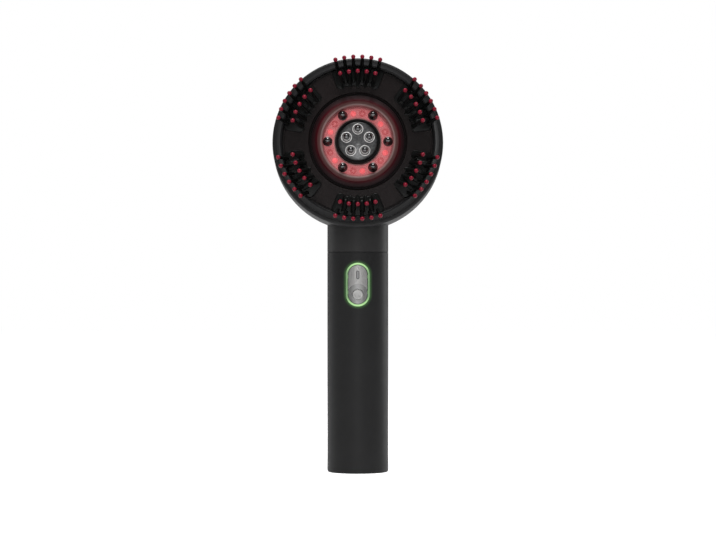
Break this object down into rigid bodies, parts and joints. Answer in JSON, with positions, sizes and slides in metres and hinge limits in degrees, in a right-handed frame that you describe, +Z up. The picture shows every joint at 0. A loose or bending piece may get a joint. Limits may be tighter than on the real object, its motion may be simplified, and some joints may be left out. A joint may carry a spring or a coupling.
{
  "type": "electric scalp massager",
  "caption": "Hand-held electric scalp massager: round head with silicone comb pads, red light ring, contact pins and roller-ball oil nozzles on a straight battery handle with a push button.",
  "frame": {"origin": "centre of the handle's flat foot, on the handle's axis", "axes": "+Z up the handle, -Y towards the scalp side of the head, +X to the right seen from that side"},
  "size_m": [0.088, 0.0536, 0.2148],
  "materials": {
    "handle_tube": "matte",
    "base_cap": "matte",
    "charge_port": "satin",
    "charge_board": "gloss",
    "chassis": "matte",
    "battery": "satin wrap",
    "control_board": "gloss",
    "board_screws": "bright",
    "tact_switch": "matte",
    "status_leds": "clear",
    "switch_frame": "matte",
    "light_ring": "translucent green, lit",
    "control_plate": "satin",
    "power_button": "satin, dished",
    "switch_plunger": "gloss",
    "rear_shell": "matte",
    "motor_mount": "matte",
    "vibration_motor": "satin",
    "motor_shaft": "bright",
    "eccentric_weight": "sintered",
    "head_carrier": "matte",
    "head_screws": "bright",
    "tank_cover": "satin",
    "oil_tank": "translucent",
    "tank_screws": "bright",
    "led_board": "red solder mask",
    "spot_leds": "clear red, lit",
    "ring_leds": "red, lit",
    "led_window": "clear, tinted by the red light",
    "light_hood": "dark red clear",
    "pin_collars": "gloss",
    "contact_pins": "polished",
    "front_bezel": "satin",
    "smoked_panel": "smoked clear",
    "nozzle_plate": "polished",
    "nozzle_spouts": "polished",
    "cap_seal": "matte",
    "nozzle_ball": "polished",
    "comb_pad": "satin silicone",
    "comb_tips": "gloss red"
  },
  "bodies": {
    "massager": {"handle_tube": "handle_tube", "base_cap": "base_cap", "charge_port": "charge_port", "charge_board": "charge_board", "chassis": "chassis", "battery": "battery", "control_board": "control_board", "board_screws": "board_screws", "tact_switch": "tact_switch", "status_leds": "status_leds", "switch_frame": "switch_frame", "light_ring": "light_ring", "control_plate": "control_plate", "rear_shell": "rear_shell", "motor_mount": "motor_mount", "vibration_motor": "vibration_motor", "head_carrier": "head_carrier", "head_screws": "head_screws", "tank_cover": "tank_cover", "oil_tank": "oil_tank", "tank_screws": "tank_screws", "led_board": "led_board", "spot_leds": "spot_leds", "ring_leds": "ring_leds", "led_window": "led_window", "light_hood": "light_hood", "pin_collars": "pin_collars", "contact_pins": "contact_pins", "front_bezel": "front_bezel", "smoked_panel": "smoked_panel", "cap_seal": "cap_seal", "comb_pad_1": "comb_pad", "comb_pad_2": "comb_pad", "comb_pad_3": "comb_pad", "comb_pad_4": "comb_pad", "comb_pad_5": "comb_pad", "comb_pad_6": "comb_pad", "comb_tips_1": "comb_tips", "comb_tips_2": "comb_tips", "comb_tips_3": "comb_tips", "comb_tips_4": "comb_tips", "comb_tips_5": "comb_tips", "comb_tips_6": "comb_tips"},
    "power_button": {"power_button": "power_button", "switch_plunger": "switch_plunger"},
    "motor_rotor": {"motor_shaft": "motor_shaft", "eccentric_weight": "eccentric_weight"},
    "nozzle_cap": {"nozzle_plate": "nozzle_plate", "nozzle_spouts": "nozzle_spouts"},
    "roller_1": {"nozzle_ball_1": "nozzle_ball"},
    "roller_2": {"nozzle_ball_2": "nozzle_ball"},
    "roller_3": {"nozzle_ball_3": "nozzle_ball"},
    "roller_4": {"nozzle_ball_4": "nozzle_ball"},
    "roller_5": {"nozzle_ball_5": "nozzle_ball"}
  },
  "joints": [
    {"name": "power_button_press", "type": "slide", "parent": "massager", "child": "power_button", "axis": [0, 1, 0], "range_m": [0, 0.0005], "stiffness_N_per_m": 2000},
    {"name": "motor_spin", "type": "hinge", "parent": "massager", "child": "motor_rotor", "pos_m": [0, -0.001, 0.14], "axis": [0, 0, 1], "continuous": true},
    {"name": "nozzle_cap_twist", "type": "hinge", "parent": "massager", "child": "nozzle_cap", "pos_m": [0, -0.0115, 0.1705], "axis": [0, -0.9945, 0.1045], "range_deg": [0, 60]},
    {"name": "nozzle_roll_1", "type": "hinge", "parent": "nozzle_cap", "child": "roller_1", "pos_m": [0, -0.01881, 0.17745], "axis": [1, 0, 0], "continuous": true},
    {"name": "nozzle_roll_2", "type": "hinge", "parent": "nozzle_cap", "child": "roller_2", "pos_m": [-0.00585, -0.01926, 0.17323], "axis": [1, 0, 0], "continuous": true},
    {"name": "nozzle_roll_3", "type": "hinge", "parent": "nozzle_cap", "child": "roller_3", "pos_m": [-0.00362, -0.01998, 0.16639], "axis": [1, 0, 0], "continuous": true},
    {"name": "nozzle_roll_4", "type": "hinge", "parent": "nozzle_cap", "child": "roller_4", "pos_m": [0.00362, -0.01998, 0.16639], "axis": [1, 0, 0], "continuous": true},
    {"name": "nozzle_roll_5", "type": "hinge", "parent": "nozzle_cap", "child": "roller_5", "pos_m": [0.00585, -0.01926, 0.17323], "axis": [1, 0, 0], "continuous": true}
  ]
}
